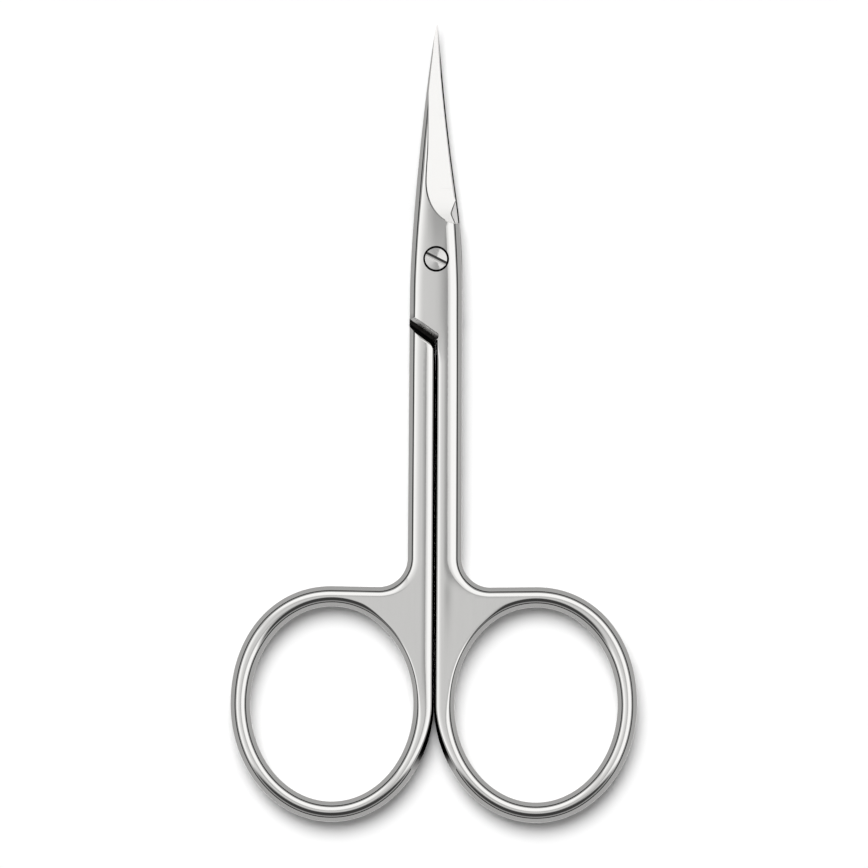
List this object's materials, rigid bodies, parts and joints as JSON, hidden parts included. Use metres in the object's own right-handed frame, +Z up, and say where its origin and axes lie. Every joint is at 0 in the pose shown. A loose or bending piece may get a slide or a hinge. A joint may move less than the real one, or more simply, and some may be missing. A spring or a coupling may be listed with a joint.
{
  "type": "cuticle scissors",
  "caption": "Small all-steel cuticle scissors with straight pointed blades, slim shanks and oval finger rings, turning on a flush slotted screw.",
  "frame": {"origin": "on the pivot screw's axis, at the flat underside that the scissors lie on", "axes": "+Y along the closed blades towards the tips, +Z up out of the slotted screw head, +X towards the ring of the half whose blade lies on top"},
  "size_m": [0.049, 0.0961, 0.0032],
  "materials": {
    "polished_steel": "mirror polished stainless steel",
    "screw_steel": "turned steel"
  },
  "bodies": {
    "lower": {"lower_half": "polished_steel", "pivot_screw": "screw_steel"},
    "upper": {"upper_half": "polished_steel"}
  },
  "joints": [
    {"name": "pivot", "type": "hinge", "parent": "lower", "child": "upper", "pos_m": [0, 0, 0.0016], "axis": [0, 0, 1], "range_deg": [0, 55]}
  ]
}
